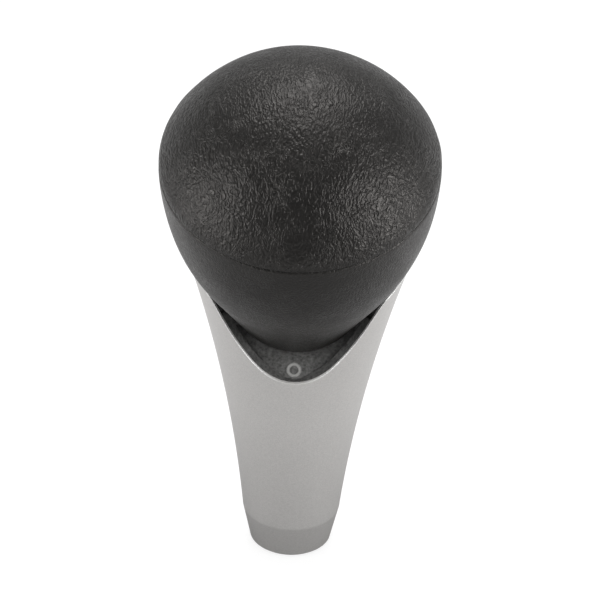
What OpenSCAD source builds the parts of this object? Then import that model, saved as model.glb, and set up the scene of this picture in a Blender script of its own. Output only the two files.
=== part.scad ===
// Gear shift knob: leather head on a flared stem that screws onto a lever.
// Millimetres, +Z up the lever, the driver's side towards -Y.
// The origin is the centre of the stem's lower mouth.

/* [Head] */
// Radius of the head at its seam
head_r = 26; // [24:0.5:28]
// How far the head leans towards the driver
head_lean = 20.5; // [19:0.5:22]
// Height of the seam's centre, measured along the leaning axis from the pivot
seam_reach = 46.5; // [45:0.5:48]
// Height of the dome above the seam
dome_h = 17.5; // [16:0.5:19]
// Radius of the dome's shoulder
shoulder_r = 5; // [4:0.5:6]
// Radius of the curve that runs down from the seam
bowl_r = 60; // [56:1:64]
// Angle of the straight run below that curve
bowl_angle = 26; // [25:0.5:27]
// Radius where the bowl turns under
nose_r = 3.5; // [3:0.5:4]

/* [Covering] */
// Thickness of the leather
skin = 1.2; // [1:0.1:1.4]
// Depth the leather is tucked in at the seam
tuck_depth = 3.5; // [3:0.5:4]
// Radius of the folded edge at the seam
fold_r = 1; // [0.8:0.1:1]

/* [Stem] */
// Radius of the stem at its lower mouth
mouth_r = 8.05; // [8:0.05:8.5]
// Height of the tapered band above the mouth
band_h = 7.9; // [7.2:0.1:8.7]
// Radius of the stem at the top of that band
band_r = 9.75; // [9.5:0.05:10]
// Height the flare is drawn to
flare_h = 70.7; // [69.7:0.5:71.7]
// Radius of the flare at that height
flare_r = 22.75; // [22.5:0.05:23.5]
// How far the flare hollows inwards from a straight cone
flare_sag = 1.65; // [1.4:0.05:1.8]
// Wall of the stem shell
shell_wall = 0.9; // [0.8:0.05:1.1]
// Crest of the two ears
ear_h = 66.7; // [65.7:0.5:67.7]

/* [Rim] */
// Lowest point of the rim, along the head's own axis from the pivot
rim_dip = 0.5; // [0:0.1:1]
// Radius at the bottom of the rim's dip
dip_r = 11; // [10.4:0.2:11.6]
// Radius of the rim's two flanks
flank_r = 44; // [42:1:48]
// Angle at which the dip runs into the flanks
dip_angle = 43; // [41:1:45]

/* [Fixing] */
// Core radius of the lever's M8 thread
thread_r = 3.4; // [3.3:0.05:3.4]
// Outer radius of the threaded insert
insert_r = 5; // [4.8:0.1:5.2]
// Height of the insert's mouth above the stem's mouth
insert_z = 27.2; // [26.5:0.1:28]
// Length of the insert
insert_l = 16.8; // [16:0.1:17.5]
// Radius of the spigot that carries the insert
spigot_r = 6.5; // [6.4:0.1:6.6]
// Radius of the lever's plain shank, with its clearance
guide_r = 5.1; // [5:0.05:5.3]
// Running clearance between parts that slide together
fit_gap = 0.1; // [0.08:0.01:0.12]

/* [Hidden] */
$fn = 96;
// pivot of the head on the lever's axis
pivot_z = 52.6;
// height of the seat above the pivot, along the head's own axis
seat_t = 1.5;
// depth of the bowl below the seam
bowl_d = seam_reach - seat_t;
// crown arc that meets the shoulder arc tangentially
shoulder_x = head_r - shoulder_r;
crown_r = (shoulder_x * shoulder_x + dome_h * dome_h - shoulder_r * shoulder_r) / (2 * (dome_h - shoulder_r));
crown_z = dome_h - crown_r;
crown_dir = [shoulder_x / (crown_r - shoulder_r), -crown_z / (crown_r - shoulder_r)];
// centre of the bowl's turned-under nose
nose_run = (bowl_d - nose_r - (bowl_r - nose_r) * sin(bowl_angle)) / cos(bowl_angle);
nose_x = head_r - bowl_r + (bowl_r - nose_r) * cos(bowl_angle) - nose_run * sin(bowl_angle);
// arc of the flare, its centre outside the stem
flare_dx = flare_r - band_r;
flare_dz = flare_h - band_h;
flare_l = sqrt(flare_dx * flare_dx + flare_dz * flare_dz);
flare_arc = flare_l * flare_l / (8 * flare_sag) + flare_sag / 2;
flare_cx = (band_r + flare_r) / 2 + (flare_arc - flare_sag) * flare_dz / flare_l;
flare_cz = (band_h + flare_h) / 2 - (flare_arc - flare_sag) * flare_dx / flare_l;
band_slope = (band_r - mouth_r) / band_h;
inner_band_r = flare_x(shell_wall, band_h);
flare_steps = 12;
bowl_steps = 8;
nose_steps = 6;
dip_steps = 9;
flank_steps = 9;
flank_turn = 38;
rim_half = 23;
// turns the start of a revolved face away from the rim's crests
start_turn = 128;
// carrier, ring and core
carrier_z = 26;
carrier_wall = 1.8;
sleeve_r = 8.6;
sleeve_z = 36;
ring_t = 1;
ring_r = 9.6;
ring_slit = 3;
groove_r = spigot_r - 0.5;
former_wall = 2.2;
core_wall = 2.6;
// press fit between the cap's skirt and the core
skirt_land = 3.2;
skirt_r = head_r - skin - core_wall - skirt_land;
skirt_l = 7;
skirt_root = 3;
skirt_seat_r = skirt_r + fit_gap;
seat_rim = 3;
land_h = 2.5;
land_lap = 0.5;
// ribs, their hub and the floor of the core
rib_count = 6;
former_rib_w = 1.6;
core_rib_w = 1.8;
carrier_rib_w = 1.5;
core_floor = 4.6;
hub_r = 5;
rib_z = skin + 1 - bowl_d;
rib_h = 16;
// seat of the bowl, the spigot's root in it and the shoulder that slopes away
seat_r = nose_x + nose_r - 0.2;
// the leather's hole stays under the flat of the bowl and clears the spigot, which leans in it
spigot_root = 0.4;
spigot_reach = spigot_r / cos(head_lean) + (seat_t + skin + spigot_root) * tan(head_lean);
skin_hole_r = max(nose_x - 0.4, spigot_reach + fit_gap);
shoulder_angle = 22;
shoulder_slope = tan(shoulder_angle);
shoulder_w = 5.6;
ledge_r = seat_r + shoulder_w;
ledge_t = seat_t - (ledge_r - seat_r) * shoulder_slope;
core_drop = 3.5;
rim_step = 0.5;
crest_r = 30;
// raised ring on the shoulder
mark_r = 1.3;
mark_wall = 0.35;
mark_h = 0.25;
mark_sink = 0.4;
mark_out = 2;
bowl_gap = 0.2;
// key that stops the head turning
key_w = 2.4;
key_d = 1;
key_l = 16;
// bush in the stem's mouth
mouth_edge = 0.4;
bush_h = 9;
bush_r = inner_band_r - fit_gap;
bush_lip = 0.5;
bush_lip_gap = 0.3;
// insert's flange, undercut and the relief above the lever's end
flange_r = 5.9;
flange_h = 0.8;
undercut_w = 1.6;
undercut_d = 0.6;
relief_gap = 0.4;
relief_l = 3;
// how far cutting shapes run past a face
over = 1;
crown_cap = 40;
reach = 60;

// puts a shape drawn about the head's own axis, pivot at its origin, into place
module lean() {
    translate([0, 0, pivot_z]) rotate([head_lean, 0, 0]) children();
}

// the same with the seam's centre at the origin
module at_seam() {
    lean() translate([0, 0, seam_reach]) children();
}

// half outline of the dome, drawn inset from the leather's outer face
module dome_outline(inset) {
    intersection() {
        translate([0, crown_z]) circle(r = crown_r - inset, $fn = 360);
        union() {
            polygon([[0, 0], [shoulder_x, 0],
                [shoulder_x + crown_cap * crown_dir[0], crown_cap * crown_dir[1]],
                [0, crown_cap * crown_dir[1]]]);
            translate([shoulder_x, 0]) circle(r = shoulder_r - inset);
        }
        square([reach, reach]);
    }
}

// radius of the bowl's straight run, drawn inset, at a height under the seam
function straight_x(inset, z) =
    head_r - bowl_r + (bowl_r - inset) * cos(bowl_angle)
        + ((bowl_r - inset) * sin(bowl_angle) + z) * tan(bowl_angle);

// half outline of the bowl under the seam, drawn inset in the same way
module bowl_outline(inset) {
    turn = max(nose_r - inset, 0.1);
    end_z = nose_r - bowl_d - turn * sin(bowl_angle);
    polygon(concat(
        [[0, 0]],
        [for (k = [0:bowl_steps]) [head_r - bowl_r + (bowl_r - inset) * cos(k * bowl_angle / bowl_steps),
            -(bowl_r - inset) * sin(k * bowl_angle / bowl_steps)]],
        [[straight_x(inset, end_z), end_z]],
        [for (k = [1:nose_steps]) [nose_x + turn * cos(bowl_angle + k * (90 - bowl_angle) / nose_steps),
            nose_r - bowl_d - turn * sin(bowl_angle + k * (90 - bowl_angle) / nose_steps)]],
        [[0, nose_r - turn - bowl_d]]));
}

// folded edge of the leather at the seam, tucked in between the two mouldings
module tuck_outline() {
    translate([head_r - tuck_depth - skin, 0]) square([tuck_depth + skin - fold_r, fold_r]);
    intersection() {
        translate([head_r - fold_r, fold_r]) circle(r = fold_r);
        translate([head_r - fold_r - 0.2, 0]) square([fold_r + 0.2, fold_r]);
    }
}

module cap_skin() {
    color([0.08, 0.08, 0.08]) at_seam() rotate_extrude() {
        tuck_outline();
        difference() {
            dome_outline(0);
            dome_outline(skin);
            translate([0, -over]) square([reach, fold_r + over]);
        }
    }
}

module bowl_skin() {
    color([0.09, 0.09, 0.09]) at_seam() {
        rotate_extrude() mirror([0, 1]) tuck_outline();
        difference() {
            rotate_extrude() bowl_outline(0);
            rotate_extrude() bowl_outline(skin);
            translate([0, 0, -fold_r]) cylinder(r = reach, h = fold_r + over);
            translate([0, 0, -bowl_d - over]) cylinder(r = skin_hole_r, h = skin + 2 * over);
        }
    }
}

module cap_former() {
    color([0.2, 0.2, 0.2]) at_seam() {
        rotate_extrude() {
            difference() {
                dome_outline(skin);
                dome_outline(skin + former_wall);
                translate([0, -over]) square([reach, fold_r + over]);
            }
            // press-in skirt that locates the cap in the core
            translate([skirt_r - former_wall, -skirt_l]) square([former_wall, skirt_l + fold_r + skirt_root]);
            // land over the tucked edge
            translate([skirt_r - land_lap, fold_r])
                square([head_r - skin - skirt_root - skirt_r, land_h]);
        }
        // ribs under the crown
        intersection() {
            for (k = [0:rib_count - 1]) {
                rotate([0, 0, k * 360 / rib_count]) translate([0, -former_rib_w / 2, fold_r])
                    cube([skirt_r - former_wall / 2, former_rib_w, reach]);
            }
            rotate_extrude() dome_outline(skin + former_wall / 2);
        }
    }
}

module head_core() {
    color([0.14, 0.14, 0.14]) {
        difference() {
            union() {
                at_seam() {
                    difference() {
                        rotate_extrude() bowl_outline(skin);
                        translate([0, 0, -fold_r]) cylinder(r = reach, h = fold_r + over);
                        intersection() {
                            rotate_extrude() bowl_outline(skin + core_wall);
                            translate([0, 0, core_floor + skin - bowl_d]) cylinder(r = reach, h = bowl_d);
                        }
                    }
                    // rim that takes the cap's skirt
                    rotate_extrude() translate([skirt_seat_r, -fold_r - seat_rim])
                        square([head_r - skin - core_wall - skirt_seat_r + over, seat_rim]);
                    // stiffening ribs and their hub
                    translate([0, 0, rib_z]) intersection() {
                        union() {
                            for (k = [0:rib_count - 1]) {
                                rotate([0, 0, (k + 0.5) * 360 / rib_count])
                                    translate([hub_r / 2, -core_rib_w / 2, 0])
                                        cube([reach, core_rib_w, rib_h]);
                            }
                            cylinder(r = hub_r, h = rib_h);
                        }
                        cylinder(r1 = straight_x(skin + core_wall / 2, rib_z),
                            r2 = straight_x(skin + core_wall / 2, rib_z + rib_h), h = rib_h);
                    }
                }
                // spigot down the lever's axis
                intersection() {
                    translate([0, 0, insert_z + flange_h]) cylinder(r = spigot_r, h = reach);
                    lean() translate([0, 0, seat_t + skin + spigot_root - reach])
                        cylinder(r = reach, h = reach);
                }
                // key that stops the head turning in the carrier
                translate([-key_w / 2, 0, sleeve_z]) cube([key_w, spigot_r + key_d, key_l]);
            }
            // pocket of the insert and the relief above the lever's end
            translate([0, 0, insert_z]) cylinder(r = insert_r, h = insert_l);
            translate([0, 0, insert_z]) cylinder(r = thread_r + relief_gap, h = insert_l + relief_l);
            // groove of the retaining ring
            translate([0, 0, sleeve_z - ring_t]) difference() {
                cylinder(r = ring_r + over, h = ring_t);
                translate([0, 0, -over]) cylinder(r = groove_r, h = ring_t + 2 * over);
            }
        }
    }
}

module thread_insert() {
    color([0.78, 0.62, 0.3]) difference() {
        union() {
            translate([0, 0, insert_z]) cylinder(r = insert_r, h = insert_l);
            translate([0, 0, insert_z]) cylinder(r = flange_r, h = flange_h);
        }
        translate([0, 0, insert_z - over]) cylinder(r = thread_r, h = insert_l + 2 * over);
        // undercut that locks the insert in the moulding
        translate([0, 0, insert_z + insert_l / 2]) difference() {
            cylinder(r = insert_r + over, h = undercut_w);
            translate([0, 0, -over]) cylinder(r = insert_r - undercut_d, h = undercut_w + 2 * over);
        }
    }
}

module retaining_ring() {
    color([0.7, 0.7, 0.72]) translate([0, 0, sleeve_z - ring_t]) difference() {
        cylinder(r = ring_r, h = ring_t);
        translate([0, 0, -over]) cylinder(r = groove_r, h = ring_t + 2 * over);
        // slit that lets the ring spring over the spigot
        translate([-ring_slit / 2, 0, -over]) cube([ring_slit, ring_r + over, ring_t + 2 * over]);
    }
}

// radius of the flare at a height, drawn inset from its outer face
function flare_x(inset, z) = flare_cx - sqrt(pow(flare_arc + inset, 2) - pow(z - flare_cz, 2));

// the flare's outline from one height to another
function flare_points(inset, z0, z1) =
    [for (k = [0:flare_steps]) let (z = z0 + k * (z1 - z0) / flare_steps) [flare_x(inset, z), z]];

// solid bounded by the flare
module flare_body(inset, z0, z1) {
    rotate([0, 0, start_turn]) rotate_extrude()
        polygon(concat([[0, z0]], flare_points(inset, z0, z1), [[0, z1]]));
}

// one flank of the rim, right for side 1 and left for side -1
function flank_points(side) =
    [for (k = [1:flank_steps]) let (turn = dip_angle + k * flank_turn / flank_steps)
        [side * (flank_r * sin(turn) - (flank_r - dip_r) * sin(dip_angle)),
            dip_r + (flank_r - dip_r) * cos(dip_angle) - flank_r * cos(turn)]];

// the rim's dip, from left to right
function dip_points() =
    [for (k = [-dip_steps:dip_steps]) let (turn = k * dip_angle / dip_steps)
        [dip_r * sin(turn), dip_r - dip_r * cos(turn)]];

// the space above the rim, drawn in the head's lean and lowered by drop
module rim_cut(drop) {
    lean() translate([0, reach, rim_dip - drop]) rotate([90, 0, 0]) linear_extrude(height = 2 * reach)
        polygon(concat([for (k = [flank_steps - 1:-1:0]) flank_points(-1)[k]], dip_points(), flank_points(1),
            [[rim_half, reach], [-rim_half, reach]]));
}

// room for the bowl above its seat
module bowl_room() {
    intersection() {
        at_seam() rotate([0, 0, start_turn]) rotate_extrude() bowl_outline(-bowl_gap);
        lean() translate([0, 0, seat_t]) cylinder(r = reach, h = reach);
    }
}

// everything under the crest of the ears, drop lower than the shell's own
module ear_crest(drop) {
    translate([-reach, 0, ear_h - drop - crest_r]) rotate([0, 90, 0])
        cylinder(r = crest_r, h = 2 * reach, $fn = 360);
    translate([-reach, -reach, -reach]) cube([2 * reach, 2 * reach, reach + ear_h - crest_r]);
}

module stem_shell() {
    color([0.7, 0.7, 0.69]) difference() {
        intersection() {
            difference() {
                rotate([0, 0, start_turn]) rotate_extrude() polygon(concat(
                    [[0, 0], [mouth_r - mouth_edge, 0], [mouth_r, mouth_edge]],
                    flare_points(0, band_h, flare_h), [[0, flare_h]]));
                rotate([0, 0, start_turn]) rotate_extrude() polygon(concat(
                    [[0, -over], [inner_band_r - band_slope * (band_h + over), -over]],
                    flare_points(shell_wall, band_h, flare_h + over), [[0, flare_h + over]]));
            }
            ear_crest(0);
        }
        rim_cut(0);
        bowl_room();
    }
}

// the space inside the carrier's outer wall
module lining_room() {
    flare_body(shell_wall + fit_gap + carrier_wall, carrier_z - over, flare_h);
}

module carrier() {
    color([0.25, 0.25, 0.25]) {
        difference() {
            intersection() {
                flare_body(shell_wall + fit_gap, carrier_z, ear_h);
                ear_crest(rim_step);
            }
            // cup above the sloping shoulder, with a lining inside the ears that stops under the rim
            intersection() {
                lean() rotate([0, 0, start_turn]) rotate_extrude()
                    polygon([[0, seat_t], [seat_r, seat_t], [ledge_r, ledge_t], [reach, ledge_t],
                        [reach, reach], [0, reach]]);
                union() {
                    lining_room();
                    rim_cut(rim_step);
                }
            }
            bowl_room();
            // bore of the spigot
            translate([0, 0, carrier_z - over]) cylinder(r = spigot_r + fit_gap, h = reach);
            translate([-key_w / 2 - fit_gap, 0, carrier_z])
                cube([key_w + 2 * fit_gap, spigot_r + key_d + fit_gap, reach]);
            // cored-out underside
            intersection() {
                lining_room();
                lean() translate([0, 0, -reach - core_drop]) cylinder(r = reach, h = reach);
                union() {
                    translate([0, 0, carrier_z - over]) cylinder(r = reach, h = sleeve_z - carrier_z + over);
                    difference() {
                        cylinder(r = reach, h = reach);
                        translate([0, 0, -over]) cylinder(r = sleeve_r, h = reach + 2 * over);
                        for (k = [0:rib_count - 1]) {
                            rotate([0, 0, (k + 0.5) * 360 / rib_count])
                                translate([0, -carrier_rib_w / 2, 0]) cube([reach, carrier_rib_w, reach]);
                        }
                    }
                }
            }
        }
        // plain raised ring on the shoulder
        lean() translate([0, -seat_r - mark_out, seat_t - mark_out * shoulder_slope])
            rotate([shoulder_angle, 0, 0]) difference() {
                translate([0, 0, -mark_sink]) cylinder(r = mark_r, h = mark_sink + mark_h);
                translate([0, 0, -over]) cylinder(r = mark_r - mark_wall, h = 2 * over);
            }
    }
}

module lower_bush() {
    color([0.16, 0.16, 0.16]) rotate_extrude() difference() {
        union() {
            polygon([[0, 0], [bush_r - band_slope * band_h, 0], [bush_r, band_h], [0, band_h]]);
            translate([0, band_h - bush_lip]) square([bush_r - bush_lip_gap, bush_h - band_h + bush_lip]);
        }
        translate([0, -over]) square([guide_r, reach]);
    }
}

cap_skin();
bowl_skin();
cap_former();
head_core();
thread_insert();
retaining_ring();
carrier();
stem_shell();
lower_bush();
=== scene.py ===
"""Gear shift knob: leather head on a silver stem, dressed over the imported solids.

Lengths are in millimetres in the shapes and the materials, which turn them into metres at the end.
The floor, the lamps and the camera are placed in metres.
"""
import math

import bpy
import numpy as np
from mathutils import Matrix, Vector


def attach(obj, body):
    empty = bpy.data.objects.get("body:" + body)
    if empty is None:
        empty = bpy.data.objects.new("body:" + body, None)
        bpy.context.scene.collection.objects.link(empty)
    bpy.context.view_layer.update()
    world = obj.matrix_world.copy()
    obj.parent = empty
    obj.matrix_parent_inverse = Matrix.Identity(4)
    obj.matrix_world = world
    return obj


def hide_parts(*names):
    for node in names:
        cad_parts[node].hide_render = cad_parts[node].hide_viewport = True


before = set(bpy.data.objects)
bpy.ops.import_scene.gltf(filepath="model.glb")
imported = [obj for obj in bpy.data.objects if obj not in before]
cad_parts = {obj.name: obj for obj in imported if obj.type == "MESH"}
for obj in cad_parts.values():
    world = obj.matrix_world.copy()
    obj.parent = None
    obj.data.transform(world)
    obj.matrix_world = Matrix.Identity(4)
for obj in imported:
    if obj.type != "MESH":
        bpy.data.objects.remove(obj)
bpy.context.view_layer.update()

MM = 0.001

# Head: radius at the seam, lean, the pivot above the mouth and the seam above the pivot
HEAD_R, LEAN, PIVOT, REACH = 26.0, math.radians(20.5), 52.6, 46.5
# Dome and its shoulder, then the bowl's curve, the slope of its straight run, its nose and its depth
DOME_H, SHOULDER_R = 17.5, 5.0
BOWL_R, BOWL_A, NOSE_R, BOWL_D = 60.0, math.radians(26), 4.8, 45.0
# Leather, its fold and tuck at the seam, and the hole under the bowl
SKIN, FOLD_R, TUCK, HOLE_R = 1.2, 0.55, 3.5, 8.2
# Stem: mouth, tapered band, flare and its hollow, the wall and its thinner edge at the rim
MOUTH_R, BAND_H, BAND_R, FLARE_H, FLARE_R, SAG = 8.05, 7.9, 9.75, 70.7, 22.75, 1.65
WALL, RIM_WALL = 0.9, 0.6
# Rim: the ears' crest, the dip and the two flanks
EAR_H, CREST_R, RIM_DIP, DIP_R, FLANK_R, DIP_A = 66.7, 30.0, 0.5, 11.0, 44.0, math.radians(43)
# Moulding: seat, sloping shoulder, step under the rim, clearance to the shell and the lining
SEAT_T, SEAT_R, LEDGE_R, SHOULDER_A = 1.5, 11.92, 17.52, math.radians(22)
RIM_STEP, FIT_GAP, LINING = 0.5, 0.1, 1.8
# Centre and radii of the raised ring
MARK_PLACE, MARK_R0, MARK_R1 = (0, -13.28, 48.37), 0.85, 1.4

# Mesh helpers


def mesh_piece(name, points, faces, node, marks=None):
    """A piece that stands for a node, from points in millimetres; points that coincide are joined.

    marks holds a value for each point, kept as the attribute edge.
    """
    _, first, same = np.unique(np.round(points, 4), axis=0, return_index=True, return_inverse=True)
    joined = same.reshape(-1)[faces].tolist()
    joined = [[v for k, v in enumerate(face) if v != face[k - 1]] for face in joined]
    joined = [face for face in joined if len(set(face)) == len(face) > 2]
    mesh = bpy.data.meshes.new(name)
    mesh.from_pydata((points[first] * MM).tolist(), [], joined)
    mesh.update()
    mesh.shade_smooth()
    if marks is not None:
        edge = mesh.attributes.new("edge", "FLOAT", "POINT")
        edge.data.foreach_set("value", marks[first].astype(np.float32))
    piece = bpy.data.objects.new(name, mesh)
    bpy.context.scene.collection.objects.link(piece)
    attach(piece, "root")
    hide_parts(node)
    return piece


def ring_faces(rows, cols):
    """Quads of a closed skin of rings, joined round the columns and along the rows."""
    i = np.arange(rows)[:, None]
    j = np.arange(cols)[None, :]
    i2, j2 = (i + 1) % rows, (j + 1) % cols
    return np.stack([i * cols + j, i * cols + j2, i2 * cols + j2, i2 * cols + j], -1).reshape(-1, 4)


def lathe(profile, turns):
    """Rings of a profile (r, z) turned round its own axis."""
    angle = np.linspace(0, 2 * np.pi, turns, endpoint=False)
    r, z = profile[:, 0][:, None], profile[:, 1][:, None]
    return np.stack([r * np.cos(angle), r * np.sin(angle), z + 0 * angle], -1)


def to_world(points):
    """From the head's own frame, seam at its origin, to the part's."""
    x, y, z = points[..., 0], points[..., 1], points[..., 2] + REACH
    return np.stack([x, y * math.cos(LEAN) - z * math.sin(LEAN),
                     y * math.sin(LEAN) + z * math.cos(LEAN) + PIVOT], -1)


def to_lean(y, z):
    """A point's place across and along the head's axis, from the pivot."""
    z = z - PIVOT
    return y * math.cos(LEAN) + z * math.sin(LEAN), -y * math.sin(LEAN) + z * math.cos(LEAN)


def waves(seed, count, low, high):
    """A smooth random function of position: sums of plane waves of the given lengths."""
    rng = np.random.default_rng(seed)
    way = rng.normal(size=(count, 3))
    way /= np.linalg.norm(way, axis=1, keepdims=True)
    way *= 2 * np.pi / rng.uniform(low, high, (count, 1))
    phase = rng.uniform(0, 2 * np.pi, count)
    return lambda p: np.sin(p @ way.T + phase).sum(-1) / math.sqrt(count)


def arc(cx, cz, r, a0, a1, steps):
    """Points of an arc from one angle to another."""
    a = np.linspace(a0, a1, steps)
    return np.stack([cx + r * np.cos(a), cz + r * np.sin(a)], -1)


def line(start, end, step=0.8):
    """Points at even steps from start to end."""
    start, end = np.array(start, float), np.array(end, float)
    length = np.linalg.norm(end - start)
    at = np.linspace(0, length, max(int(length / step), 2) + 1)
    return np.stack([np.interp(at, [0, length], [start[k], end[k]]) for k in (0, 1)], -1)


def rounded(start, corner, end, shares):
    """Points on the curve that leaves start for the corner and comes in to end."""
    return [(1 - t) ** 2 * start + 2 * t * (1 - t) * corner + t * t * end for t in shares]


# Leather

# half the slit between the two panels, and how many points the tuck and the fold take
SLIT = 0.02
FOLD_POINTS = 13


def dome_path():
    """Outer face of the cap, from its fold at the seam to the crown."""
    sx = HEAD_R - SHOULDER_R
    crown_r = (sx * sx + DOME_H ** 2 - SHOULDER_R ** 2) / (2 * (DOME_H - SHOULDER_R))
    meet = math.atan2(crown_r - DOME_H, sx)
    start = math.asin(FOLD_R / SHOULDER_R)
    fold_x = sx + SHOULDER_R * math.cos(start) - FOLD_R
    return np.concatenate([
        line([HEAD_R - TUCK - SKIN, SLIT], [fold_x, SLIT])[:-1],
        arc(fold_x, FOLD_R, FOLD_R, -math.pi / 2, 0, 9)[:-1],
        arc(sx, 0, SHOULDER_R, start, meet, 14)[:-1],
        arc(0, DOME_H - crown_r, crown_r, meet, math.pi / 2, 46)[:-1],
        [[0, DOME_H]]])


def bowl_path():
    """Outer face of the bowl, from its fold at the seam to the hole under it."""
    cx = HEAD_R - BOWL_R
    run = (BOWL_D - NOSE_R - (BOWL_R - NOSE_R) * math.sin(BOWL_A)) / math.cos(BOWL_A)
    nose_x = cx + (BOWL_R - NOSE_R) * math.cos(BOWL_A) - run * math.sin(BOWL_A)
    nose_z = NOSE_R - BOWL_D
    return np.concatenate([
        line([HEAD_R - TUCK - SKIN, -SLIT], [HEAD_R - FOLD_R, -SLIT])[:-1],
        arc(HEAD_R - FOLD_R - SLIT / 2, -FOLD_R, FOLD_R, math.pi / 2, 0, 9)[:-1],
        arc(cx, 0, BOWL_R, -math.asin(FOLD_R / BOWL_R), -BOWL_A, 30)[:-1],
        line([cx + BOWL_R * math.cos(BOWL_A), -BOWL_R * math.sin(BOWL_A)],
             [nose_x + NOSE_R * math.cos(BOWL_A), nose_z - NOSE_R * math.sin(BOWL_A)])[:-1],
        arc(nose_x, nose_z, NOSE_R, -BOWL_A, -math.pi / 2, 8)[:-1],
        line([nose_x, -BOWL_D], [HOLE_R, -BOWL_D])])


def offset_path(path, inset):
    """The path moved inwards, to the left of its run."""
    run = np.gradient(path, axis=0)
    run /= np.linalg.norm(run, axis=1, keepdims=True)
    return path + inset * np.stack([-run[:, 1], run[:, 0]], -1)


def leather_piece(name, path, side, node):
    """A covering of even thickness, tucked in at the seam, with the unevenness of pulled leather.

    side is 1 for the panel over the seam and -1 for the one under it.
    """
    turns = 300
    seam_land, seam_fade = 0.3, 3.2
    swell, pucker, seam_wave = 0.035, 0.035, 0.05
    inner = offset_path(path, side * 0.95 * SKIN)
    inner[:, 0] = np.maximum(inner[:, 0], 0)
    keep = (side * inner[:, 1] > seam_land) & (np.arange(len(path)) >= FOLD_POINTS)
    rings = lathe(np.concatenate([path, inner[keep][::-1]]), turns)
    # long swells everywhere, shorter puckers that die out away from the seam, and a seam not quite level
    near_seam = np.exp(-np.abs(rings[..., 2]) / seam_fade)
    out = swell * waves(3, 14, 14, 34)(rings)
    out = out + pucker * waves(8, 10, 5, 9)(rings * [1, 1, 0.25]) * near_seam
    way = rings / np.linalg.norm(rings, axis=-1, keepdims=True)
    rings = rings + way * out[..., None] * (np.abs(rings[..., 2:]) > seam_land)
    rings[..., 2] += seam_wave * waves(5, 8, 12, 30)(rings * [1, 1, 0]) * near_seam
    if side > 0:
        rings = rings[:, ::-1]
    points = to_world(rings)[::-1]
    return mesh_piece(name, points.reshape(-1, 3), ring_faces(*points.shape[:2]), node)


cap = leather_piece("cap_leather", dome_path(), 1, "cap_skin")
bowl = leather_piece("bowl_leather", bowl_path(), -1, "bowl_skin")


# Stem shell

FLARE_L = math.hypot(FLARE_R - BAND_R, FLARE_H - BAND_H)
FLARE_ARC = FLARE_L ** 2 / (8 * SAG) + SAG / 2
FLARE_CX = (BAND_R + FLARE_R) / 2 + (FLARE_ARC - SAG) * (FLARE_H - BAND_H) / FLARE_L
FLARE_CZ = (BAND_H + FLARE_H) / 2 - (FLARE_ARC - SAG) * (FLARE_R - BAND_R) / FLARE_L


def stem_r(z, inset):
    """Radius of the stem's wall at a height."""
    flare = FLARE_CX - np.sqrt((FLARE_ARC + inset) ** 2 - (np.maximum(z, BAND_H) - FLARE_CZ) ** 2)
    return flare - (BAND_R - MOUTH_R) / BAND_H * np.maximum(BAND_H - z, 0)


def rim_height(x):
    """The rim's line across the head's lean, above its lowest point."""
    x = np.abs(x)
    dip = DIP_R - np.sqrt(np.maximum(DIP_R ** 2 - x ** 2, 0))
    turn = np.arcsin(np.clip((x + (FLANK_R - DIP_R) * math.sin(DIP_A)) / FLANK_R, -1, 1))
    flank = DIP_R + (FLANK_R - DIP_R) * math.cos(DIP_A) - FLANK_R * np.cos(turn)
    return np.where(x < DIP_R * math.sin(DIP_A), dip, flank)


def over_rim(p):
    """Above zero where a point lies over the rim or the ears' crest."""
    x, y, z = p[..., 0], p[..., 1], p[..., 2]
    crest = EAR_H - CREST_R + np.sqrt(np.maximum(CREST_R ** 2 - y ** 2, 0))
    return np.maximum(to_lean(y, z)[1] - RIM_DIP - rim_height(x), z - crest)


def wall_point(angle, z, inset):
    """Points on the wall at the given angles and heights."""
    r = stem_r(z, inset)
    return np.stack([r * np.cos(angle), r * np.sin(angle), z], -1)


def rim_curve(angle, inset):
    """Height of the rim on the wall at each angle, its corners a little rounded."""
    halvings, blur, spread = 40, 9, 3.2
    low, high = np.full_like(angle, 30.0), np.full_like(angle, FLARE_H)
    for _ in range(halvings):
        middle = (low + high) / 2
        over = over_rim(wall_point(angle, middle, inset)) > 0
        high, low = np.where(over, middle, high), np.where(over, low, middle)
    reach = np.arange(-blur, blur + 1)
    weight = np.exp(-(reach / spread) ** 2 / 2)
    weight /= weight.sum()
    return sum(w * np.roll(low, k) for k, w in zip(reach, weight))


def rim_offset(angle, z, inset, distance):
    """The rim moved down square to its own run, as angles and heights on the wall, and the rim itself."""
    p = wall_point(angle, z, inset)
    run = np.roll(p, -1, 0) - np.roll(p, 1, 0)
    run /= np.linalg.norm(run, axis=-1, keepdims=True)
    up = wall_point(angle, z + 0.1, inset) - p
    out = np.stack([np.cos(angle), np.sin(angle), 0 * angle], -1)
    face = np.cross(run, up)
    face *= np.sign((face * out).sum(-1, keepdims=True))
    face /= np.linalg.norm(face, axis=-1, keepdims=True)
    down = np.cross(face, run)
    down *= -np.sign(down[..., 2:])
    q = p + distance * down
    turn = np.arctan2(q[..., 1], q[..., 0])
    turn = angle + (turn - angle + np.pi) % (2 * np.pi) - np.pi
    return turn, q[..., 2], p


def wall_inset(z):
    """Thickness of the shell's wall, which thins towards the rim."""
    thins_from, thins_over = 20, 12
    share = np.clip((z - thins_from) / thins_over, 0, 1)
    return WALL - (WALL - RIM_WALL) * share * share * (3 - 2 * share)


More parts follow.
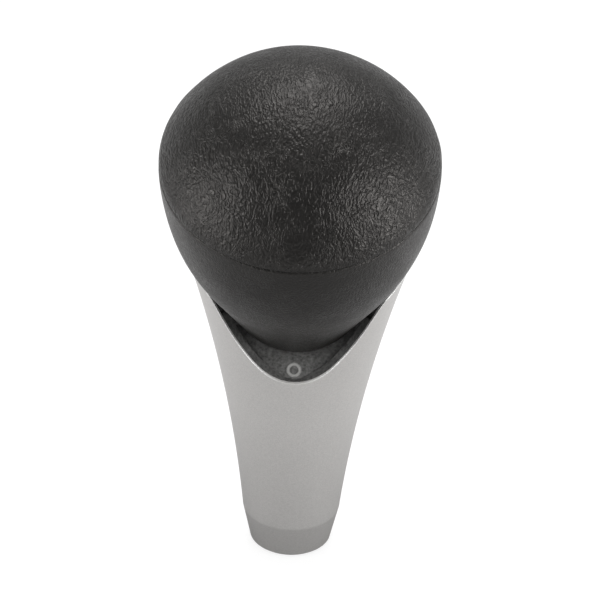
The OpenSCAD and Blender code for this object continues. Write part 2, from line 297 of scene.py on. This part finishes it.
def clear_of_bowl(rings, gap=0.2):
    """The rings with every point pushed out of the bowl and its gap, square to the head's axis."""
    ly, lz = to_lean(rings[..., 1], rings[..., 2])
    lz = lz - REACH
    radius = np.hypot(rings[..., 0], ly)
    path = bowl_path()[FOLD_POINTS + 1:]
    limit = np.interp(-lz, -path[:, 1], path[:, 0]) + gap
    scale = np.where((radius < limit) & (lz > SEAT_T - REACH), limit / radius, 1.0)
    return to_world(np.stack([rings[..., 0] * scale, ly * scale, lz], -1))


def stem_piece():
    """The painted shell, as rings from its foot up the outer face, over the rim and down inside."""
    count = 400
    outer_edge, inner_edge = 0.22, 0.15
    foot_edge, crease = 0.4, 0.04
    angle = np.linspace(0, 2 * np.pi, count, endpoint=False)
    outer_turn, outer_z, outer_rim = rim_offset(angle, rim_curve(angle, 0), 0, outer_edge)
    inner_turn, inner_z, inner_rim = rim_offset(angle, rim_curve(angle, RIM_WALL), RIM_WALL, inner_edge)
    rows = []
    # chamfer and tapered band, as far as the crease
    for z in (foot_edge, foot_edge + 0.1, 2, 4, 6, BAND_H - 0.35, BAND_H - crease):
        rows.append(wall_point(angle, np.full(count, float(z)), 0))
    for share in np.linspace(0, 1, 44):
        z = BAND_H + crease + share * (outer_z - BAND_H - crease)
        rows.append(wall_point(angle + (outer_turn - angle) * share ** 2, z, 0))
    # rounded outer edge, rim face and softer inner edge
    first_edge = len(rows)
    over = inner_rim - outer_rim
    over /= np.linalg.norm(over, axis=-1, keepdims=True)
    face_start, face_end = outer_rim + over * outer_edge, inner_rim - over * inner_edge
    rows += rounded(rows[-1], outer_rim, face_start, np.linspace(0, 1, 7)[1:])
    rows.append(face_start * 0.5 + face_end * 0.5)
    last_edge = len(rows)
    inner_wall = wall_point(inner_turn, inner_z, RIM_WALL)
    rows += rounded(face_end, inner_rim, inner_wall, np.linspace(0, 1, 5))
    # inner face, down to the mouth
    for share in np.linspace(1, 0, 30)[1:]:
        z = 0.05 + share * (inner_z - 0.05)
        rows.append(wall_point(angle + (inner_turn - angle) * share ** 2, z, wall_inset(z)))
    rows.append(wall_point(angle, np.zeros(count), WALL))
    rows.append(wall_point(angle, np.zeros(count), foot_edge))
    rings = clear_of_bowl(np.stack(rows))
    # the rim's rounded edge gets a painted highlight, a brighter tone, least at the front and the back
    painted_rim_highlight = np.zeros(rings.shape[:2])
    painted_rim_highlight[first_edge:last_edge] = np.clip((np.abs(rings[first_edge:last_edge, :, 0]) - 1) / 5, 0.1, 1)
    return mesh_piece("stem_painted", rings.reshape(-1, 3), ring_faces(*rings.shape[:2]),
                      "stem_shell", painted_rim_highlight.reshape(-1))


stem = stem_piece()


# Moulding between the stem and the head


def rim_steepness(r, angle, z):
    """Height on the wall for one step square to the rim: 1 where the rim is level, more on its flanks."""
    step, least_rise = 0.01, 0.2
    here = over_rim(wall_point(angle, z, WALL))
    rise = (over_rim(wall_point(angle, z + step, WALL)) - here) / step
    turn = (over_rim(wall_point(angle + step / r, z, WALL)) - here) / step
    return np.hypot(rise, turn) / np.maximum(rise, least_rise)


def carrier_piece():
    """The grey moulding with its lining brought up to the rim and sloping inwards from there."""
    under_rim, slope, shell_gap = 0.12, 3.0, 0.08
    # the rim's steepness counts up to these factors, and the slope takes this share of the height left
    rise_limit, drop_limit, height_share = 1.6, 2.4, 0.85
    # a point belongs to the upper face within this distance, and to a wall within this share of the lining
    on_face, on_wall = 0.03, 0.02
    face_from, wall_from = 40, 20
    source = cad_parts["carrier"].data
    points = np.empty(len(source.vertices) * 3)
    source.vertices.foreach_get("co", points)
    points = points.reshape(-1, 3) / MM
    x, y, z = points.T
    r = np.hypot(x, y)
    # 0 on the lining's outer wall, 1 on its inner wall
    depth = (stem_r(z, WALL + FIT_GAP) - r) / LINING
    top = (np.abs(over_rim(points) + RIM_STEP) < on_face) & (depth < 1 + on_wall) & (z > face_from)
    # height above the sloping shoulder
    ly, lz = to_lean(y, z)
    ledge = np.clip(np.hypot(x, ly) - SEAT_R, 0, LEDGE_R - SEAT_R)
    height = np.maximum(lz - (SEAT_T - ledge * math.tan(SHOULDER_A)), 0)
    # the face under the rim rises at its outer line, drops at its inner one and stays over the shoulder
    steep = rim_steepness(r, np.arctan2(y, x), z)
    move = (RIM_STEP - under_rim) * (1 - depth) * np.minimum(steep, rise_limit)
    move = np.maximum(move - slope * depth * np.minimum(steep, drop_limit), -height_share * height)
    z = np.where(top, z + move, z)
    # the outer wall follows the shell's thinner edge, the inner wall stays on its own flare
    outside = (np.abs(depth) < on_wall) & (z > wall_from)
    r_new = np.where(top, stem_r(z, WALL + FIT_GAP + LINING * depth), r)
    r_new = np.where(outside, stem_r(z, wall_inset(z) + shell_gap), r_new)
    scale = r_new / np.maximum(r, 1e-6)
    corners = np.empty(len(source.loops), np.int32)
    source.loops.foreach_get("vertex_index", corners)
    piece = mesh_piece("carrier_moulding", np.stack([x * scale, y * scale, z], -1), corners.reshape(-1, 3),
                       "carrier")
    piece.data.set_sharp_from_angle(angle=math.radians(24))
    return piece


carrier = carrier_piece()


# Materials


class Tree:
    """Short calls to build a node tree."""

    def __init__(self, tree):
        self.tree = tree

    def add(self, kind, **settings):
        node = self.tree.nodes.new(kind)
        for key, value in settings.items():
            setattr(node, key, value)
        return node

    def feed(self, node, **values):
        """Sets or links inputs, by name with underscores for spaces, or by number as i0, i1."""
        for key, value in values.items():
            socket = node.inputs[int(key[1:]) if key[1:].isdigit() else key.replace("_", " ")]
            if isinstance(value, bpy.types.NodeSocket):
                self.tree.links.new(value, socket)
            else:
                socket.default_value = value
        return node

    def math(self, operation, a, b=0.0):
        return self.feed(self.add("ShaderNodeMath", operation=operation), i0=a, i1=b).outputs[0]

    def vector(self, operation, a, b):
        """The node itself: sums and differences are its output 0, distances its output Value."""
        return self.feed(self.add("ShaderNodeVectorMath", operation=operation), i0=a, i1=b)

    def range(self, value, low, high, out_low, out_high, smooth=False):
        kind = "SMOOTHSTEP" if smooth else "LINEAR"
        node = self.add("ShaderNodeMapRange", interpolation_type=kind, clamp=True)
        self.feed(node, Value=value, From_Min=low, From_Max=high, To_Min=out_low, To_Max=out_high)
        return node.outputs["Result"]


class Nodes(Tree):
    """A material and its nodes."""

    def __init__(self, name, color, roughness, metallic=0.0, specular=0.5):
        self.material = bpy.data.materials.new(name)
        self.material.use_nodes = True
        super().__init__(self.material.node_tree)
        self.shader = self.tree.nodes["Principled BSDF"]
        self.place = self.add("ShaderNodeTexCoord").outputs["Object"]
        self.set(Base_Color=(*color, 1), Roughness=roughness, Metallic=metallic, Specular_IOR_Level=specular)
        self.material.diffuse_color = (*color, 1)

    def set(self, **values):
        self.feed(self.shader, **values)
        return self.material

    def noise(self, size, detail=2.0, place=None):
        """Noise whose swells are about so many millimetres across."""
        node = self.feed(self.add("ShaderNodeTexNoise"), Vector=place or self.place, Scale=1 / (size * MM),
                         Detail=detail, Roughness=0.55)
        return node.outputs["Fac"]

    def cells(self, size, feature, place=None):
        """A pattern of cells about so many millimetres across."""
        node = self.add("ShaderNodeTexVoronoi", feature=feature)
        return self.feed(node, Vector=place or self.place, Scale=1 / (size * MM)).outputs

    def bent(self, size, amount):
        """Coordinates pushed about by noise, to break up an even pattern."""
        node = self.feed(self.add("ShaderNodeTexNoise"), Vector=self.place, Scale=1 / (size * MM), Detail=2.0)
        centred = self.vector("SUBTRACT", node.outputs["Color"], (0.5, 0.5, 0.5)).outputs[0]
        moved = self.add("ShaderNodeVectorMath", operation="SCALE")
        moved = self.feed(moved, i0=centred, Scale=amount * MM).outputs[0]
        return self.vector("ADD", self.place, moved).outputs[0]

    def drawn(self, place, scale, rotation=(0, 0, 0)):
        """Coordinates turned and drawn out, for a grain with a run."""
        node = self.feed(self.add("ShaderNodeMapping"), Vector=place, Rotation=rotation, Scale=scale)
        return node.outputs["Vector"]

    def blend(self, factor, a, b):
        """Mixes two colours, each a colour or another node's."""
        a, b = ((*c, 1) if isinstance(c, tuple) else c for c in (a, b))
        return self.feed(self.add("ShaderNodeMix", data_type="RGBA"), i0=factor, i6=a, i7=b).outputs[2]

    def bump(self, height, depth, normal=None):
        """Bump from a height of 0 to 1 that stands for so many millimetres."""
        node = self.feed(self.add("ShaderNodeBump"), Strength=1.0, Distance=depth * MM, Height=height)
        if normal is not None:
            self.feed(node, Normal=normal)
        return node.outputs["Normal"]

    def crease(self, noise, width):
        """0 along the lines where the noise crosses its middle, 1 away from them."""
        off = self.math("ABSOLUTE", self.math("SUBTRACT", noise, 0.5))
        return self.range(off, 0.0, width, 0.0, 1.0, smooth=True)

    def soft_edges(self, radius):
        """Normals of edges rounded by a small radius."""
        return self.feed(self.add("ShaderNodeBevel", samples=4), Radius=radius * MM).outputs["Normal"]


def scaled(values, factor):
    """A colour or a place with each of its numbers times the factor."""
    return tuple(value * factor for value in values)


def leather(name, color, pale, grain, depth, roughness, specular):
    """Grained leather: small drawn-out pebbles between creases, and faces worn a little smoother."""
    m = Nodes(name, color, roughness, specular=specular)
    m.set(Specular_Tint=(1.0, 0.955, 0.92, 1))
    # across in millimetres: the pattern, which scales with the grain, and patches of depth, tone and gloss
    pebble, crease, fleck, sway = 0.4 * grain, 0.7 * grain, 0.22 * grain, 5.0 * grain
    depth_patch, tone_patch, gloss_patch = 6.0, 11.0, 7.0
    bent = m.bent(sway, 2.2 * grain)
    place = m.drawn(bent, (1.0, 0.5, 0.62), (0.55, 0.3, 0.5))
    pebbles = m.range(m.noise(pebble, 1.0, place), 0.3, 0.7, 0.0, 1.0, smooth=True)
    creases = m.crease(m.noise(crease, 1.0, place), 0.11)
    flecks = m.noise(fleck, 1.0, bent)
    relief = m.math("ADD", m.math("MULTIPLY", pebbles, 0.5), m.math("MULTIPLY", creases, 0.34))
    relief = m.math("MULTIPLY", m.math("ADD", relief, m.math("MULTIPLY", flecks, 0.2)),
                    m.range(m.noise(depth_patch), 0.35, 0.65, 0.6, 1.0))
    tone = m.blend(m.range(relief, 0.3, 0.85, 0.0, 1.0), scaled(color, 0.6), pale)
    tone = m.blend(m.range(m.noise(tone_patch), 0.35, 0.7, 0.0, 0.35), tone, color)
    rough = m.math("ADD", m.range(relief, 0.25, 0.85, roughness + 0.1, roughness - 0.03),
                   m.range(m.noise(gloss_patch, 3.0), 0.3, 0.7, -0.03, 0.04))
    return m.set(Base_Color=tone, Roughness=rough, Normal=m.bump(relief, depth))


def silver_paint(color, painted_rim_highlight):
    """Satin metallic paint: fine flakes, a slight orange peel, dull patches, painted shade towards the foot
    and a painted highlight on the rim.
    """
    m = Nodes("silver_paint", color, 0.4, metallic=0.42)
    # across in millimetres, and the height below which painted shade darkens the paint
    flake, dull_patch, peel_size, shade_below = 0.16, 5.0, 0.9, 36
    flakes = m.cells(flake, "F1")["Color"]
    glint = m.feed(m.add("ShaderNodeSeparateColor"), Color=flakes).outputs["Red"]
    tone = m.blend(glint, scaled(color, 0.93), scaled(color, 1.07))
    # painted shade: darker towards the foot, and darker again on its tapered band
    height = m.feed(m.add("ShaderNodeSeparateXYZ"), Vector=m.place).outputs["Z"]
    foot = m.math("MULTIPLY", m.range(height, 0.0, shade_below * MM, 0.8, 1.0),
                  m.range(height, (BAND_H - 0.5) * MM, BAND_H * MM, 0.88, 1.0))
    tone = m.blend(foot, (0.0, 0.0, 0.0), tone)
    # painted highlight: the rim's rounded edge, marked by the attribute edge, takes the brighter colour, and
    # also a lower roughness
    edge = m.add("ShaderNodeAttribute", attribute_name="edge").outputs["Fac"]
    tone = m.blend(edge, tone, painted_rim_highlight)
    rough = m.math("ADD", m.range(m.noise(dull_patch, 3.0), 0.3, 0.7, 0.36, 0.43),
                   m.range(glint, 0.0, 1.0, -0.03, 0.03))
    rough = m.math("SUBTRACT", rough, m.math("MULTIPLY", edge, 0.12))
    peel = m.math("ADD", m.math("MULTIPLY", m.noise(peel_size), 0.8), m.math("MULTIPLY", glint, 0.12))
    return m.set(Base_Color=tone, Roughness=rough, Normal=m.bump(peel, 0.012))


def eroded(name, color, pale, size, depth, roughness, edge, ring_highlight=None):
    """Moulded plastic with a fine spark-eroded face; the last argument, if given, is the centre and radii of
    a ring with a painted highlight, a paler tone.
    """
    m = Nodes(name, color, roughness, specular=0.4)
    tone_patch = 9.0
    pits = m.noise(size, 4.0)
    lumps = m.cells(size * 1.7, "SMOOTH_F1", m.bent(size * 3, size))["Distance"]
    relief = m.math("ADD", m.math("MULTIPLY", pits, 0.7), m.math("MULTIPLY", lumps, 0.45))
    tone = m.blend(m.range(relief, 0.35, 0.8, 0.0, 1.0), color, pale)
    tone = m.blend(m.range(m.noise(tone_patch), 0.35, 0.7, 0.0, 0.4), tone, scaled(color, 0.9))
    if ring_highlight:
        centre, low, high = ring_highlight
        # painted highlight on the raised ring: the paler tone fades in from just outside the ring and is
        # whole just inside it
        outside, inside = 0.1, 0.05
        away = m.vector("DISTANCE", m.place, scaled(centre, MM)).outputs["Value"]
        away = m.math("MULTIPLY", away, 1 / MM)
        ring = m.math("MULTIPLY", m.range(away, low - outside, low + inside, 0.0, 1.0),
                      m.range(away, high - inside, high + outside, 1.0, 0.0))
        tone = m.blend(m.math("MULTIPLY", ring, 0.8), tone, scaled(pale, 2.2))
    rough = m.range(relief, 0.3, 0.8, roughness + 0.08, roughness - 0.06)
    return m.set(Base_Color=tone, Roughness=rough, Normal=m.bump(relief, depth, m.soft_edges(edge)))


def turned(name, color, roughness, pitch, edge):
    """Machined metal: fine rings along the lever's axis, smears and soft edges."""
    m = Nodes(name, color, roughness, metallic=1.0)
    smear_size = 3.0
    rings = m.noise(1.0, 3.0, m.drawn(m.place, (0.12, 0.12, 1 / pitch)))
    smear = m.noise(smear_size, 3.0)
    tone = m.blend(m.range(smear, 0.35, 0.7, 0.0, 0.5), color, scaled(color, 0.78))
    rough = m.math("ADD", m.range(rings, 0.3, 0.7, roughness - 0.05, roughness + 0.07),
                   m.range(smear, 0.3, 0.7, -0.03, 0.05))
    return m.set(Base_Color=tone, Roughness=rough, Normal=m.bump(rings, 0.02, m.soft_edges(edge)))


def put(piece, material):
    """Gives every face of a piece the material."""
    piece.data.materials.clear()
    piece.data.materials.append(material)
    for face in piece.data.polygons:
        face.material_index = 0


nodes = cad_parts
put(cap, leather("leather_cap", color=(0.0082, 0.008, 0.0076), pale=(0.014, 0.0135, 0.0128),
                 grain=1.15, depth=0.2, roughness=0.34, specular=0.58))
put(bowl, leather("leather_bowl", color=(0.0108, 0.0104, 0.0098), pale=(0.0165, 0.0158, 0.0149),
                  grain=0.8, depth=0.09, roughness=0.35, specular=0.58))
# the second colour is a painted highlight for the rim's rounded edge
put(stem, silver_paint(color=(0.66, 0.646, 0.632), painted_rim_highlight=(0.93, 0.925, 0.915)))
# the moulding's raised ring gets a painted highlight, a paler tone
put(carrier, eroded("grey_plastic", color=(0.055, 0.0543, 0.0528), pale=(0.17, 0.169, 0.1645),
                    size=0.4, depth=0.12, roughness=0.62, edge=0.25,
                    ring_highlight=(MARK_PLACE, MARK_R0, MARK_R1)))
put(nodes["cap_former"], eroded("cap_moulding", color=(0.04, 0.04, 0.04), pale=(0.06, 0.06, 0.06),
                                size=0.5, depth=0.03, roughness=0.5, edge=0.25))
put(nodes["head_core"], eroded("core_moulding", color=(0.045, 0.045, 0.045), pale=(0.065, 0.065, 0.065),
                               size=0.5, depth=0.03, roughness=0.5, edge=0.25))
put(nodes["lower_bush"], eroded("bush_plastic", color=(0.03, 0.03, 0.03), pale=(0.045, 0.045, 0.045),
                                size=0.4, depth=0.02, roughness=0.42, edge=0.2))
put(nodes["thread_insert"], turned("brass", color=(0.72, 0.52, 0.25), roughness=0.3, pitch=0.12, edge=0.15))
put(nodes["retaining_ring"], turned("spring_steel", color=(0.42, 0.42, 0.43),
                                    roughness=0.32, pitch=0.1, edge=0.08))


# Stage, light and camera


def white_stage(radius, seen, far_gloss):
    """A pale round floor that shows as white and still takes the shadow."""
    sides, sink = 96, 0.0003
    mesh = bpy.data.meshes.new("floor")
    turn = np.linspace(0, 2 * np.pi, sides, endpoint=False)
    rim = np.stack([radius * np.cos(turn), radius * np.sin(turn), 0 * turn], -1)
    mesh.from_pydata(rim.tolist(), [], [list(range(sides))])
    floor = bpy.data.objects.new("floor", mesh)
    bpy.context.scene.collection.objects.link(floor)
    floor.location.z = -sink
    m = Nodes("floor", (0.26, 0.26, 0.26), 0.9)
    path = m.add("ShaderNodeLightPath").outputs
    clear = m.math("MAXIMUM", path["Is Camera Ray"], path["Is Transmission Ray"])
    # gloss sees the floor dark in the object's shade, which falls towards the driver, and paler further out
    shade_middle, shade_in, shade_out = (0, -0.07, 0), 0.07, 0.16
    away = m.vector("DISTANCE", m.place, shade_middle).outputs["Value"]
    mirrored = m.range(away, shade_in, shade_out, 0.0, far_gloss)
    gloss = m.range(path["Is Glossy Ray"], 0.0, 1.0, 0.0, mirrored)
    glow = m.feed(m.add("ShaderNodeEmission"), Strength=m.range(clear, 0.0, 1.0, gloss, seen))
    both = m.feed(m.add("ShaderNodeAddShader"), i0=m.shader.outputs[0], i1=glow.outputs[0])
    m.feed(m.tree.nodes["Material Output"], Surface=both.outputs[0])
    mesh.materials.append(m.material)


def world_light(level, front, behind, horizon):
    """An even pale room that shows as white; gloss sees it dark in front and palest low down behind."""
    world = bpy.data.worlds.new("studio")
    bpy.context.scene.world = world
    world.use_nodes = True
    room = Tree(world.node_tree)
    way = room.add("ShaderNodeTexCoord").outputs["Generated"]
    way = room.feed(room.add("ShaderNodeSeparateXYZ"), Vector=way).outputs
    path = room.add("ShaderNodeLightPath").outputs
    back = room.range(way["Z"], 0.03, 0.28, horizon, behind)
    gloss = room.range(way["Y"], -0.3, 0.6, front, back)
    lit = room.range(path["Is Glossy Ray"], 0.0, 1.0, level, gloss)
    room.feed(room.tree.nodes["Background"], Color=(1, 1, 1, 1),
              Strength=room.range(path["Is Camera Ray"], 0.0, 1.0, lit, 1.0))


def softbox(name, place, aim, size, power, diffuse=True, glossy=True):
    """A rectangular lamp that faces a point; diffuse and glossy say which of the two it lights."""
    lamp = bpy.data.lights.new(name, "AREA")
    lamp.shape = "RECTANGLE"
    lamp.size, lamp.size_y = size
    lamp.energy = power
    holder = bpy.data.objects.new(name, lamp)
    bpy.context.scene.collection.objects.link(holder)
    holder.location = place
    holder.visible_diffuse, holder.visible_glossy = diffuse, glossy
    holder.rotation_euler = (Vector(aim) - Vector(place)).to_track_quat("-Z", "Y").to_euler()


def photo_camera():
    """The photograph's view: from the driver's side and above, a long lens."""
    rise, side, roll = math.radians(29.9), math.radians(1.28), math.radians(1.87)
    focal, frame_px, sensor, distance = 3269.4, 600, 36, 0.6
    # how far the seam's centre sits above and beside the picture's, in pixels
    seam_up, seam_side = 138.1, 0.4
    target = Vector((0, -REACH * math.sin(LEAN), PIVOT + REACH * math.cos(LEAN))) * MM
    back = Vector((math.sin(side) * math.cos(rise), -math.cos(side) * math.cos(rise), math.sin(rise)))
    right = Vector((math.cos(side), math.sin(side), 0))
    up = back.cross(right)
    right, up = math.cos(roll) * right + math.sin(roll) * up, -math.sin(roll) * right + math.cos(roll) * up
    ahead = (-back - up * (seam_up / focal) - right * (seam_side / focal)).normalized()
    right = ahead.cross(up).normalized()
    up = right.cross(ahead)
    data = bpy.data.cameras.new("camera")
    data.lens = focal / frame_px * sensor
    data.sensor_width = sensor
    data.clip_start, data.clip_end = 0.05, 20
    camera = bpy.data.objects.new("camera", data)
    bpy.context.scene.collection.objects.link(camera)
    place = target + back * distance
    camera.matrix_world = Matrix((
        (right.x, up.x, -ahead.x, place.x), (right.y, up.y, -ahead.y, place.y),
        (right.z, up.z, -ahead.z, place.z), (0, 0, 0, 1)))
    bpy.context.scene.camera = camera


white_stage(radius=0.3, seen=0.78, far_gloss=0.6)
world_light(level=0.62, front=0.03, behind=0.3, horizon=0.7)
# what the lamps face; each side lamp has a twin, a millimetre further out, for gloss alone
HEAD, MIDDLE, SIDE_BOX = (0, 0, 0.09), (0, 0, 0.07), (0.48, 0.45)
softbox("left_box", (-0.74, -0.3, 0.21), HEAD, SIDE_BOX, power=1.5)
softbox("left_gloss", (-0.741, -0.3, 0.21), HEAD, SIDE_BOX, power=1.6, diffuse=False)
softbox("right_box", (0.74, -0.29, 0.23), HEAD, SIDE_BOX, power=2.3)
softbox("right_gloss", (0.741, -0.29, 0.23), HEAD, SIDE_BOX, power=1.6, diffuse=False)
softbox("top_box", (0.0, 0.27, 0.82), HEAD, size=(0.45, 0.74), power=3.6)
softbox("front_fill", (0.0, -0.75, 0.5), MIDDLE, size=(0.7, 0.5), power=3.1, glossy=False)
photo_camera()

bpy.context.scene.view_settings.view_transform = "Standard"
